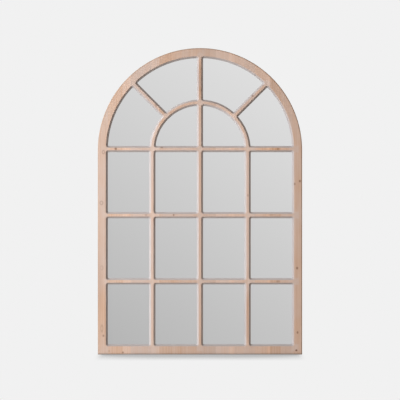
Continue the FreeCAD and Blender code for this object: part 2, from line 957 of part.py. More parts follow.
# Fitting. What is let into a wooden piece cuts its own socket there, and then the
# openings and the rebates are routed through the whole lattice.

def fitted(name, stock, mates):
    """Cuts the sockets for a piece's mates, then routes it."""
    base = stock
    if mates:
        sockets = joined(name + "_sockets", mates)
        base = cut(name + "_jointed", stock, sockets)
    return cut(name, base, routing)


uprights = [centre_bar_stock, right_bar_stock, left_bar_stock]
inner_arches = [right_inner_arch_stock, left_inner_arch_stock]

right_stile = fitted(
    "right_stile",
    right_stile_stock,
    [
        level_bar_stocks["lower_bar"],
        level_bar_stocks["middle_bar"],
        right_corner_dowels,
        right_springing_dowels,
        right_stile_screws,
        right_hanger_screws,
    ],
)
right_foot = fitted(
    "arch_right_foot",
    right_foot_stock,
    [
        level_bar_stocks["springing_bar"],
        right_springing_dowels,
        arch_dowels,
        arch_screws,
        right_stile_screws,
        right_hanger_screws,
    ],
)
right_shoulder = fitted(
    "arch_right_shoulder",
    right_shoulder_stock,
    [right_spoke_stock, arch_dowels, arch_screws],
)
right_bar = fitted("right_bar", right_bar_stock, [])
right_inner_arch = fitted("right_inner_arch", right_inner_arch_stock, [right_spoke_stock])
right_spoke = fitted("right_spoke", right_spoke_stock, [])

nodes = {
    "bottom_rail": fitted("bottom_rail", rail_stock, [*uprights, corner_dowels, rail_screws]),
    "arch_crown": fitted("arch_crown", crown_stock, [centre_bar_stock, arch_dowels, arch_screws]),
    "centre_bar": fitted("centre_bar", centre_bar_stock, inner_arches),
    "lower_bar": fitted("lower_bar", level_bar_stocks["lower_bar"], uprights),
    "middle_bar": fitted("middle_bar", level_bar_stocks["middle_bar"], uprights),
    "springing_bar": fitted("springing_bar", level_bar_stocks["springing_bar"], uprights + inner_arches),
    "mirror_glass": mirror_glass,
    "cushion_sheet": cushion_sheet,
    "backing_board": backing_board,
    "backing_screws": backing_screws,
    "corner_dowels": corner_dowels,
    "springing_dowels": springing_dowels,
    "arch_dowels": arch_dowels,
    "hanger_screws": hanger_screws,
    "wall_bumpers": wall_bumpers,
}
right_hand = {
    "right_stile": right_stile,
    "arch_right_foot": right_foot,
    "arch_right_shoulder": right_shoulder,
    "right_bar": right_bar,
    "right_inner_arch": right_inner_arch,
    "right_spoke": right_spoke,
    "right_hanger_strap": right_hanger_strap,
    "right_hanging_ring": right_hanging_ring,
}
for name, piece in right_hand.items():
    nodes[name] = piece
    left_name = name.replace("right", "left")
    nodes[left_name] = mirrored(left_name, piece)

document.recompute()

# Checking and writing

for item in document.Objects:
    faults = {"Invalid", "Error"} & set(item.State)
    if faults:
        raise RuntimeError(f"{item.Name}: {faults}")
for name, piece in nodes.items():
    piece.Label = name
    if piece.Shape.isNull() or not piece.Shape.isValid():
        raise RuntimeError(f"{name} has no valid shape")

os.makedirs("parts", exist_ok=True)
for name, piece in nodes.items():
    piece.Shape.exportStep(f"parts/{name}.step")
    solids = piece.Shape.Solids
    print(f"{name}: {len(solids)} solids, {piece.Shape.Volume / 1000:.1f} cm3")
print(len(nodes), "nodes")
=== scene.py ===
import bmesh
import bpy
import math
import numpy as np
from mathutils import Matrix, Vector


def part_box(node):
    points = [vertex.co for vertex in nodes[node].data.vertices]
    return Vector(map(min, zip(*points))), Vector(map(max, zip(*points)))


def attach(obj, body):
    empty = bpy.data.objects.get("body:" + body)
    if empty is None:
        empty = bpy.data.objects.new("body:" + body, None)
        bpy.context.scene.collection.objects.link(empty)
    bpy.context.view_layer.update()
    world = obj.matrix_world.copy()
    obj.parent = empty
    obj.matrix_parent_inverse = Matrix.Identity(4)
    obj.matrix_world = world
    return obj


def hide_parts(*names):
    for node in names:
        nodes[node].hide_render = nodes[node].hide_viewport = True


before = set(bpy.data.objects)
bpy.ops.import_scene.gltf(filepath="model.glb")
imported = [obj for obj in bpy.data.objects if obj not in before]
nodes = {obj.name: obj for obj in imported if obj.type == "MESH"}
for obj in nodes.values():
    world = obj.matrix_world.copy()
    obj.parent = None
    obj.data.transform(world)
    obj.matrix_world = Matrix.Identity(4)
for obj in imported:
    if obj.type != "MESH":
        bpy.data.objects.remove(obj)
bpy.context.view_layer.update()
print("loaded", len(nodes), "pieces of the mirror")


# a hex colour as it looks on a screen, turned into the linear light that the shaders work in:
# part / 12.92 where it is dark, otherwise ((part + 0.055) / 1.055) to the power 2.4
def linearColour(hexColour):
    parts = [int(hexColour[i:i + 2], 16) / 255 for i in (1, 3, 5)]
    return [p / 12.92 if p <= 0.04045 else ((p + 0.055) / 1.055) ** 2.4 for p in parts] + [1.0]


# adds one node to a tree, with its settings, and puts a value or a link into each named socket
def addNode(tree, kind, settings=None, inputs=None):
    node = tree.nodes.new(kind)
    for name, value in (settings or {}).items():
        setattr(node, name, value)
    for name, value in (inputs or {}).items():
        if isinstance(value, bpy.types.NodeSocket):
            tree.links.new(value, node.inputs[name])
        else:
            node.inputs[name].default_value = value
    return node


# a new material with an empty tree, and its output node
def emptyMaterial(name):
    material = bpy.data.materials.new(name)
    material.use_nodes = True
    material.node_tree.nodes.clear()
    return material, material.node_tree, addNode(material.node_tree, "ShaderNodeOutputMaterial")


# puts one material into every slot of the named pieces
def dressPieces(names, material):
    for name in names:
        slots = nodes[name].material_slots
        if not slots:
            nodes[name].data.materials.append(material)
        for slot in slots:
            slot.material = material


# camera: straight in front at the middle of the mirror's height, and far back,
# because the openings in the photograph look alike all round
cameraValues = {
    "distance": 12.0,
    "height": 0.7564,
    "sideways": 0.0,
    "millimetresPerPixel": 4.8945,
    "pixelsAcross": 400,
    "sensorWidth": 36,
    "frontFace": -0.015,
}
cameraData = bpy.data.cameras.new("photoCamera")
photoCamera = bpy.data.objects.new("photoCamera", cameraData)
bpy.context.scene.collection.objects.link(photoCamera)
bpy.context.scene.camera = photoCamera
# lens = sensor width x distance from the front face / width in view
viewWidth = cameraValues["pixelsAcross"] * cameraValues["millimetresPerPixel"] / 1000
viewDistance = cameraValues["distance"] + cameraValues["frontFace"]
cameraData.sensor_width = cameraValues["sensorWidth"]
cameraData.lens = cameraValues["sensorWidth"] * viewDistance / viewWidth
cameraData.dof.use_dof = False
photoCamera.location = (cameraValues["sideways"], -cameraValues["distance"], cameraValues["height"])
photoCamera.rotation_euler = (math.pi / 2, 0, 0)
bpy.context.scene.view_settings.view_transform = "Standard"
print("camera placed")


# soft studio light: a wide lamp from the left, a weaker one behind, and a pale room round them
lightValues = {
    "keyPlace": (-4.11, -3.50, 1.40),
    "backPlace": (2.2, 4.4, 2.4),
    "target": (0, 0, 0.75),
    "lampSize": 2.4,
    "keyPower": 300,
    "backPower": 150,
    "roomLight": 0.25,
    "roomFromAbove": 0.8,
    "roomColour": "#FFE4CC",
    "backdrop": "#F1F1F1",
    "mirrorMiddle": 0.696,
    "mirrorSideways": 1.388,
    "mirrorUpwards": 2.024,
    "mirrorDarkest": 0.45,
    "mirrorBrightest": 1.0,
}


# a square lamp at a place, turned so that its light falls on the target:
# tilt = angle between straight down and the target, turn = the target's bearing less a quarter turn
def addLamp(name, place, power):
    lampData = bpy.data.lights.new(name, "AREA")
    lamp = bpy.data.objects.new(name, lampData)
    bpy.context.scene.collection.objects.link(lamp)
    lampData.shape = "SQUARE"
    lampData.size = lightValues["lampSize"]
    lampData.energy = power
    lamp.location = place
    towards = [t - p for t, p in zip(lightValues["target"], place)]
    tilt = math.acos(-towards[2] / math.sqrt(sum(t * t for t in towards)))
    lamp.rotation_euler = (tilt, 0, math.atan2(towards[1], towards[0]) - math.pi / 2)


addLamp("keyLamp", lightValues["keyPlace"], lightValues["keyPower"])
addLamp("backLamp", lightValues["backPlace"], lightValues["backPower"])

world = bpy.data.worlds.new("studioRoom")
bpy.context.scene.world = world
world.use_nodes = True
room = world.node_tree
room.nodes.clear()
# gloss sees a grey room that brightens upwards and to the right, the eye sees the plain backdrop
lookingAlong = addNode(room, "ShaderNodeTexCoord")
direction = addNode(room, "ShaderNodeSeparateXYZ", {}, {0: lookingAlong.outputs["Generated"]})
risen = addNode(room, "ShaderNodeMath", {"operation": "MULTIPLY_ADD"},
                {0: direction.outputs["Z"], 1: lightValues["mirrorUpwards"], 2: lightValues["mirrorMiddle"]})
roomTone = addNode(room, "ShaderNodeMath", {"operation": "MULTIPLY_ADD"},
                   {0: direction.outputs["X"], 1: lightValues["mirrorSideways"], 2: risen.outputs[0]})
roomClamp = addNode(room, "ShaderNodeClamp", {},
                    {"Value": roomTone.outputs[0], "Min": lightValues["mirrorDarkest"],
                     "Max": lightValues["mirrorBrightest"]})
shiny = addNode(room, "ShaderNodeBackground", {}, {"Color": (1, 1, 1, 1), "Strength": roomClamp.outputs[0]})
# dull surfaces get the room's warm light, more of it from above
fromAbove = addNode(room, "ShaderNodeMath", {"operation": "MULTIPLY_ADD"},
                    {0: direction.outputs["Z"], 1: lightValues["roomFromAbove"] * lightValues["roomLight"],
                     2: lightValues["roomLight"]})
ambient = addNode(room, "ShaderNodeBackground", {},
                  {"Color": linearColour(lightValues["roomColour"]), "Strength": fromAbove.outputs[0]})
plain = addNode(room, "ShaderNodeBackground", {},
                {"Color": linearColour(lightValues["backdrop"]), "Strength": 1.0})
rayKind = addNode(room, "ShaderNodeLightPath")
glossOrGlass = addNode(room, "ShaderNodeMath", {"operation": "MAXIMUM"},
                       {0: rayKind.outputs["Is Glossy Ray"], 1: rayKind.outputs["Is Transmission Ray"]})
seenByGloss = addNode(room, "ShaderNodeMixShader", {},
                      {0: glossOrGlass.outputs[0], 1: ambient.outputs[0], 2: shiny.outputs[0]})
seenByEye = addNode(room, "ShaderNodeMixShader", {},
                    {0: rayKind.outputs["Is Camera Ray"], 1: seenByGloss.outputs[0], 2: plain.outputs[0]})
addNode(room, "ShaderNodeOutputWorld", {}, {"Surface": seenByEye.outputs[0]})
print("studio light made")


# floor: a plain pale sheet that keeps the mirror's contact shadow
floorValues = {
    "colour": "#F1F1F1",
    "bounce": "#C0B5A8",
    "halfSize": 9.0,
    "height": -0.0004,
    "shadowReach": 0.5,
    "shadowDepth": 1.5,
    "shadowSamples": 16,
    "deepestShade": 0.56,
    "shadowStartsToEnd": 0.468,
    "shadowEnds": 0.512,
}
half, level = floorValues["halfSize"], floorValues["height"]
floorMesh = bpy.data.meshes.new("paleFloor")
floorCorners = [(-half, -half, level), (half, -half, level), (half, half, level), (-half, half, level)]
floorMesh.from_pydata(floorCorners, [], [(0, 1, 2, 3)])
paleFloor = bpy.data.objects.new("paleFloor", floorMesh)
bpy.context.scene.collection.objects.link(paleFloor)
# smooth pale paper, matt and even: shade = how open a point is to the room, deepened by a power,
# and never below the deepest
material, tree, output = emptyMaterial("palePaper")
openness = addNode(tree, "ShaderNodeAmbientOcclusion", {"samples": floorValues["shadowSamples"]},
                   {"Color": (1, 1, 1, 1), "Distance": floorValues["shadowReach"]})
deepened = addNode(tree, "ShaderNodeMath", {"operation": "POWER"},
                   {0: openness.outputs["AO"], 1: floorValues["shadowDepth"]})
shade = addNode(tree, "ShaderNodeMath", {"operation": "MAXIMUM"},
                {0: deepened.outputs[0], 1: floorValues["deepestShade"]})
# the shadow ends with the foot, softly
floorPlace = addNode(tree, "ShaderNodeTexCoord").outputs["Object"]
floorAlong = addNode(tree, "ShaderNodeSeparateXYZ", {}, {0: floorPlace})
fromMiddle = addNode(tree, "ShaderNodeMath", {"operation": "ABSOLUTE"}, {0: floorAlong.outputs["X"]})
pastEnd = addNode(tree, "ShaderNodeMapRange", {"interpolation_type": "SMOOTHSTEP"},
                  {"Value": fromMiddle.outputs[0], "From Min": floorValues["shadowStartsToEnd"],
                   "From Max": floorValues["shadowEnds"]})
shadeLeft = addNode(tree, "ShaderNodeMix", {"data_type": "FLOAT"},
                    {"Factor": pastEnd.outputs[0], "A": shade.outputs[0], "B": 1.0})
shown = addNode(tree, "ShaderNodeEmission", {},
                {"Color": linearColour(floorValues["colour"]), "Strength": shadeLeft.outputs[0]})
lit = addNode(tree, "ShaderNodeBsdfDiffuse", {}, {"Color": linearColour(floorValues["bounce"])})
clear = addNode(tree, "ShaderNodeBsdfTransparent")
floorRay = addNode(tree, "ShaderNodeLightPath")
floorGloss = addNode(tree, "ShaderNodeMath", {"operation": "MAXIMUM"},
                     {0: floorRay.outputs["Is Glossy Ray"], 1: floorRay.outputs["Is Transmission Ray"]})
underGloss = addNode(tree, "ShaderNodeMixShader", {},
                     {0: floorGloss.outputs[0], 1: lit.outputs[0], 2: clear.outputs[0]})
floorMix = addNode(tree, "ShaderNodeMixShader", {},
                   {0: floorRay.outputs["Is Camera Ray"], 1: underGloss.outputs[0], 2: shown.outputs[0]})
tree.links.new(floorMix.outputs[0], output.inputs["Surface"])
floorMesh.materials.append(material)
print("floor made")


# limed softwood: a board of upright pine staves, routed, washed with grey-pink lime and sanded.
# The lime stays thick and grey on the slopes, where the sanding block can't reach, and thin on the flats.
woodValues = {
    "rawEarly": "#DDBBA0",
    "rawLate": "#BE9678",
    "limeOnFlats": "#D1C0B8",
    "limeOnSlopes": "#B3AFB1",
    "knot": "#6A4632",
    "slopeCover": 0.95,
    "outsideCover": 0.55,
    "backCover": 0.12,
    "crossingCover": 0.9,
    # painted shade: how dark the outer rounded edge is drawn, standing in for the shade that falls on it
    "outerEdgePaintedShade": 0.80,
    # painted shade: how dark the bottom edge is drawn, standing in for the shade along the foot
    "footPaintedShade": 0.78,
    "limedRoughness": 0.85,
    "bareRoughness": 0.55,
    "refraction": 1.5,
    "specular": 0.3,
    "grainStrength": 0.4,
    "grainDepth": 0.0004,
}
# grain: real rings are 2 to 4 mm apart and fibres finer still, and both are drawn coarser, so that
# they show. The stretches are along x, y and z, and the grain is upright.
grainValues = {
    "ringSpacingMm": 12,
    "ringStretch": (1.0, 0.5, 0.05),
    "ringWobble": 5.0,
    "ringWobbleScale": 0.7,
    "ringShare": 0.2,
    "pithAcross": 0.3,
    "pithBehind": 0.02,
    "pithUp": 7.0,
    "fibreWidthMm": 8,
    "fibreStretch": (1.0, 0.3, 0.03),
    "cloudSizeMm": 50,
    "cloudStretch": (1.0, 0.5, 0.4),
    "cloudRange": (0.3, 0.7),
    "patchShare": 0.16,
    "streakShare": 0.4,
}
# where on the mirror a finish begins and is full, in metres
placeValues = {
    "boardHalfWidth": 0.5,
    "archHeight": 1.0,
    "outside": (0.4935, 0.4958),
    "inside": (0.490, 0.480),
    "foot": (0.0092, 0.0075),
    "back": (0.0120, 0.0148),
    "slope": (-0.0148, -0.0138),
    "crossing": (0.030, 0.012),
    "columnPitch": 0.2335,
    "rowPitch": 0.324,
    "lowestBar": 0.358,
}
# staves from left to right: left edge, tone against the mean, how much lime the face keeps,
# and where the pith lies
staveList = [
    (-0.500, 0.96, 0.80, 0.15),
    (-0.452, 0.97, 0.46, 0.80),
    (-0.380, 1.05, 0.62, 0.35),
    (-0.343, 0.92, 0.92, 0.62),
    (-0.240, 0.98, 0.85, 0.10),
    (-0.202, 0.90, 0.38, 0.90),
    (-0.162, 0.90, 0.46, 0.44),
    (-0.093, 0.89, 0.60, 0.70),
    (0.010, 0.86, 0.70, 0.22),
    (0.078, 0.96, 0.80, 0.95),
    (0.137, 1.05, 0.64, 0.52),
    (0.166, 0.96, 0.72, 0.05),
    (0.213, 0.94, 0.84, 0.75),
    (0.268, 0.97, 0.55, 0.30),
    (0.328, 1.08, 0.50, 0.58),
    (0.343, 0.88, 0.40, 0.86),
    (0.392, 0.91, 0.70, 0.40),
    (0.452, 0.93, 0.55, 0.66),
]
# knots and stains: middle across, middle up, half width, half height, darkness,
# and 1 where only the rim is dark
knotList = [
    (-0.4727, 0.991, 0.0070, 0.0095, 0.35, 1),
    (-0.4826, 0.742, 0.0085, 0.0100, 0.30, 1),
    (-0.4815, 0.424, 0.0080, 0.0120, 0.18, 1),
    (-0.4800, 0.128, 0.0065, 0.0180, 0.25, 1),
    (-0.4725, 0.092, 0.0055, 0.0065, 0.50, 0),
    (-0.4125, 1.0065, 0.0070, 0.0080, 0.75, 0),
    (-0.1871, 1.0130, 0.0080, 0.0045, 0.50, 0),
    (-0.1288, 0.6830, 0.0050, 0.0065, 0.55, 0),
    (-0.2640, 0.6825, 0.0070, 0.0055, 0.35, 0),
    (-0.3776, 0.0100, 0.0055, 0.0060, 0.55, 0),
    (-0.4450, 0.0170, 0.0050, 0.0050, 0.25, 0),
    (0.4890, 0.8490, 0.0055, 0.0070, 0.65, 0),
    (0.4636, 0.8350, 0.0050, 0.0070, 0.50, 0),
    (0.4753, 0.4230, 0.0065, 0.0075, 0.62, 0),
    (0.4775, 0.1080, 0.0050, 0.0070, 0.65, 0),
    (0.4715, 0.0205, 0.0060, 0.0058, 0.85, 0),
    (0.3818, 1.0060, 0.0070, 0.0060, 0.45, 0),
    (0.3420, 0.6830, 0.0120, 0.0045, 0.25, 0),
    (0.3818, 0.3580, 0.0110, 0.0060, 0.35, 0),
    (0.2579, 1.2660, 0.0070, 0.0075, 0.50, 0),
    (0.2344, 0.7790, 0.0050, 0.0070, 0.30, 0),
    (-0.2160, 1.2180, 0.0060, 0.0120, 0.30, 0),
    (0.0010, 1.3500, 0.0220, 0.0950, 0.20, 0),
    (0.2320, 0.1800, 0.0220, 0.1400, 0.12, 0),
    (-0.4930, 0.3300, 0.0180, 0.1500, 0.10, 0),
]
# soft ovals where the lime was rubbed thin or pooled: middle across, middle up, half width,
# half height, change
limeSpotList = [
    (-0.476, 0.160, 0.040, 0.220, -0.40),
    (0.2335, 0.180, 0.030, 0.150, -0.45),
    (-0.118, 0.682, 0.110, 0.030, 0.50),
    (-0.118, 1.006, 0.110, 0.030, 0.30),
    (0.355, 1.006, 0.100, 0.030, -0.30),
    (0.0, 1.340, 0.030, 0.110, -0.25),
]
# how far out, as a share of its oval, each kind of mark is full and where it is gone
markValues = {
    "limeSpot": (0.5, 1.0),
    "knot": (0.4, 1.25),
    "rim": (0.05, 0.6),
    "rimPlace": 0.8,
}
# joints that the straight grid doesn't hold, where the flats are wide too: middle across, middle up
crossingList = [(0.0, 1.2335), (-0.165, 1.165), (0.165, 1.165), (-0.326, 1.326), (0.326, 1.326), (0.0, 1.462)]


# a soft step: 0 before the first place, 1 after the second
def softStep(tree, value, places):
    return addNode(tree, "ShaderNodeMapRange", {"interpolation_type": "SMOOTHSTEP"},
                   {"Value": value, "From Min": places[0], "From Max": places[1]}).outputs[0]


# how far a point lies from an oval's middle, seen from the front: 0 in the middle, 1 on the outline
def ovalReach(tree, place, x, z, halfWidth, halfHeight):
    offMiddle = addNode(tree, "ShaderNodeVectorMath", {"operation": "SUBTRACT"}, {0: place, 1: (x, 0, z)})
    inOval = addNode(tree, "ShaderNodeVectorMath", {"operation": "MULTIPLY"},
                     {0: offMiddle.outputs[0], 1: (1 / halfWidth, 0, 1 / halfHeight)})
    reach = addNode(tree, "ShaderNodeVectorMath", {"operation": "LENGTH"}, {0: inOval.outputs[0]})
    return reach.outputs["Value"]


# which stave: a stepped ramp over the width, whose three channels hold tone - 0.5, lime and pith
def staveChannels(tree, across):
    halfWidth = placeValues["boardHalfWidth"]
    boardShare = addNode(tree, "ShaderNodeMapRange", {},
                         {"Value": across, "From Min": -halfWidth, "From Max": halfWidth})
    staveRamp = addNode(tree, "ShaderNodeValToRGB", {}, {"Fac": boardShare.outputs[0]})
    staveRamp.color_ramp.interpolation = "CONSTANT"
    stops = staveRamp.color_ramp.elements
    for number, (edge, tone, lime, pith) in enumerate(staveList):
        stop = stops[0] if number == 0 else stops.new((edge + halfWidth) / (2 * halfWidth))
        stop.color = (tone - 0.5, lime, pith, 1.0)
    stops.remove(stops[-1])
    return addNode(tree, "ShaderNodeSeparateColor", {}, {0: staveRamp.outputs["Color"]}).outputs


# late wood = fibres + ring share x (rings - a half)
# Rings are circles round a pith that lies elsewhere in each stave, drawn out along the grain.
def lateWood(tree, place, pithChannel):
    across = addNode(tree, "ShaderNodeMath", {"operation": "MULTIPLY_ADD"},
                     {0: pithChannel, 1: grainValues["pithAcross"], 2: -grainValues["pithAcross"] / 2})
    up = addNode(tree, "ShaderNodeMath", {"operation": "MULTIPLY"},
                 {0: pithChannel, 1: grainValues["pithUp"]})
    pith = addNode(tree, "ShaderNodeCombineXYZ", {},
                   {"X": across.outputs[0], "Y": grainValues["pithBehind"], "Z": up.outputs[0]})
    drawnOut = addNode(tree, "ShaderNodeVectorMath", {"operation": "MULTIPLY"},
                       {0: place, 1: grainValues["ringStretch"]})
    ringPlace = addNode(tree, "ShaderNodeVectorMath", {"operation": "ADD"},
                        {0: drawnOut.outputs[0], 1: pith.outputs[0]})
    # the wave node draws a ring every 0.314 units at scale 1
    rings = addNode(tree, "ShaderNodeTexWave",
                    {"wave_type": "RINGS", "rings_direction": "Z", "wave_profile": "SIN"},
                    {"Vector": ringPlace.outputs[0], "Scale": 0.314 * 1000 / grainValues["ringSpacingMm"],
                     "Distortion": grainValues["ringWobble"], "Detail": 2.0,
                     "Detail Scale": grainValues["ringWobbleScale"]})
    fibrePlace = addNode(tree, "ShaderNodeVectorMath", {"operation": "MULTIPLY"},
                         {0: place, 1: grainValues["fibreStretch"]})
    fibres = addNode(tree, "ShaderNodeTexNoise", {},
                     {"Vector": fibrePlace.outputs[0], "Scale": 1000 / grainValues["fibreWidthMm"],
                      "Detail": 2.0})
    ringPart = addNode(tree, "ShaderNodeMath", {"operation": "MULTIPLY_ADD"},
                       {0: rings.outputs["Fac"], 1: grainValues["ringShare"],
                        2: -grainValues["ringShare"] / 2})
    return addNode(tree, "ShaderNodeMath", {"operation": "ADD", "use_clamp": True},
                   {0: fibres.outputs["Fac"], 1: ringPart.outputs[0]}).outputs[0]


# lime kept near a crossing: by the distance from the nearest upright and the nearest level bar,
# whichever is more, or from the nearest joint of the arches, if that is less
def crossingLime(tree, place, along):
    nearUpright = addNode(tree, "ShaderNodeMath", {"operation": "PINGPONG"},
                          {0: along.outputs["X"], 1: placeValues["columnPitch"] / 2})
    overLowest = addNode(tree, "ShaderNodeMath", {"operation": "SUBTRACT"},
                         {0: along.outputs["Z"], 1: placeValues["lowestBar"]})
    nearLevel = addNode(tree, "ShaderNodeMath", {"operation": "PINGPONG"},
                        {0: overLowest.outputs[0], 1: placeValues["rowPitch"] / 2})
    nearest = addNode(tree, "ShaderNodeMath", {"operation": "MAXIMUM"},
                      {0: nearUpright.outputs[0], 1: nearLevel.outputs[0]}).outputs[0]
    seenFlat = addNode(tree, "ShaderNodeVectorMath", {"operation": "MULTIPLY"},
                       {0: place, 1: (1.0, 0.0, 1.0)})
    for x, z in crossingList:
        offJoint = addNode(tree, "ShaderNodeVectorMath", {"operation": "DISTANCE"},
                           {0: seenFlat.outputs[0], 1: (x, 0, z)})
        nearest = addNode(tree, "ShaderNodeMath", {"operation": "MINIMUM"},
                          {0: nearest, 1: offJoint.outputs["Value"]}).outputs[0]
    far, near = placeValues["crossing"]
    return addNode(tree, "ShaderNodeMapRange", {"interpolation_type": "SMOOTHSTEP"},
                   {"Value": nearest, "From Min": far, "From Max": near,
                    "To Min": 0.0, "To Max": woodValues["crossingCover"]}).outputs[0]


# lime on the flats = the greater of the stave's and the crossing's, with the soft ovals' changes,
# a cloudy patch, and a streak that is thinner where the late wood stands proud
def flatLime(tree, place, along, staveLime, late):
    lime = addNode(tree, "ShaderNodeMath", {"operation": "MAXIMUM"},
                   {0: staveLime, 1: crossingLime(tree, place, along)}).outputs[0]
    for x, z, halfWidth, halfHeight, change in limeSpotList:
        spot = addNode(tree, "ShaderNodeMapRange", {"interpolation_type": "SMOOTHSTEP"},
                       {"Value": ovalReach(tree, place, x, z, halfWidth, halfHeight),
                        "From Min": markValues["limeSpot"][0], "From Max": markValues["limeSpot"][1],
                        "To Min": change, "To Max": 0.0})
        lime = addNode(tree, "ShaderNodeMath", {"operation": "ADD"}, {0: lime, 1: spot.outputs[0]}).outputs[0]
    cloudPlace = addNode(tree, "ShaderNodeVectorMath", {"operation": "MULTIPLY"},
                         {0: place, 1: grainValues["cloudStretch"]})
    cloud = addNode(tree, "ShaderNodeTexNoise", {},
                    {"Vector": cloudPlace.outputs[0], "Scale": 1000 / grainValues["cloudSizeMm"],
                     "Detail": 2.0})
    patch = addNode(tree, "ShaderNodeMapRange", {},
                    {"Value": cloud.outputs["Fac"], "From Min": grainValues["cloudRange"][0],
                     "From Max": grainValues["cloudRange"][1], "To Min": -grainValues["patchShare"],
                     "To Max": grainValues["patchShare"]})
    streak = addNode(tree, "ShaderNodeMath", {"operation": "MULTIPLY_ADD"},
                     {0: late, 1: -grainValues["streakShare"], 2: grainValues["streakShare"] / 2})
    uneven = addNode(tree, "ShaderNodeMath", {"operation": "ADD"},
                     {0: patch.outputs[0], 1: streak.outputs[0]})
    return addNode(tree, "ShaderNodeMath", {"operation": "ADD", "use_clamp": True},
                   {0: lime, 1: uneven.outputs[0]}).outputs[0]


# how far out a point lies: sideways below the arch's centre, and away from that centre above it
def outwardReach(tree, along):
    overCentre = addNode(tree, "ShaderNodeMath", {"operation": "SUBTRACT"},
                         {0: along.outputs["Z"], 1: placeValues["archHeight"]})
    onlyAbove = addNode(tree, "ShaderNodeMath", {"operation": "MAXIMUM"}, {0: overCentre.outputs[0], 1: 0.0})
    outwards = addNode(tree, "ShaderNodeCombineXYZ", {}, {"X": along.outputs["X"], "Y": onlyAbove.outputs[0]})
    reach = addNode(tree, "ShaderNodeVectorMath", {"operation": "LENGTH"}, {0: outwards.outputs[0]})
    return reach.outputs["Value"]


# knot darkness = full at the middle of a soft oval, or on its rim, and fading from there;
# the darkest of all the knots counts
def knotDarkness(tree, place):
    darkest = None
    for x, z, halfWidth, halfHeight, darkness, rim in knotList:
        full, gone = markValues["rim"] if rim else markValues["knot"]
        fromRim = addNode(tree, "ShaderNodeMath", {"operation": "SUBTRACT"},
                          {0: ovalReach(tree, place, x, z, halfWidth, halfHeight),
                           1: markValues["rimPlace"] * rim})
        offRim = addNode(tree, "ShaderNodeMath", {"operation": "ABSOLUTE"}, {0: fromRim.outputs[0]})
        knot = addNode(tree, "ShaderNodeMapRange", {"interpolation_type": "SMOOTHSTEP"},
                       {"Value": offRim.outputs[0], "From Min": full, "From Max": gone,
                        "To Min": darkness, "To Max": 0.0})
        darkest = knot.outputs[0] if darkest is None else addNode(
            tree, "ShaderNodeMath", {"operation": "MAXIMUM"}, {0: darkest, 1: knot.outputs[0]}).outputs[0]
    return darkest
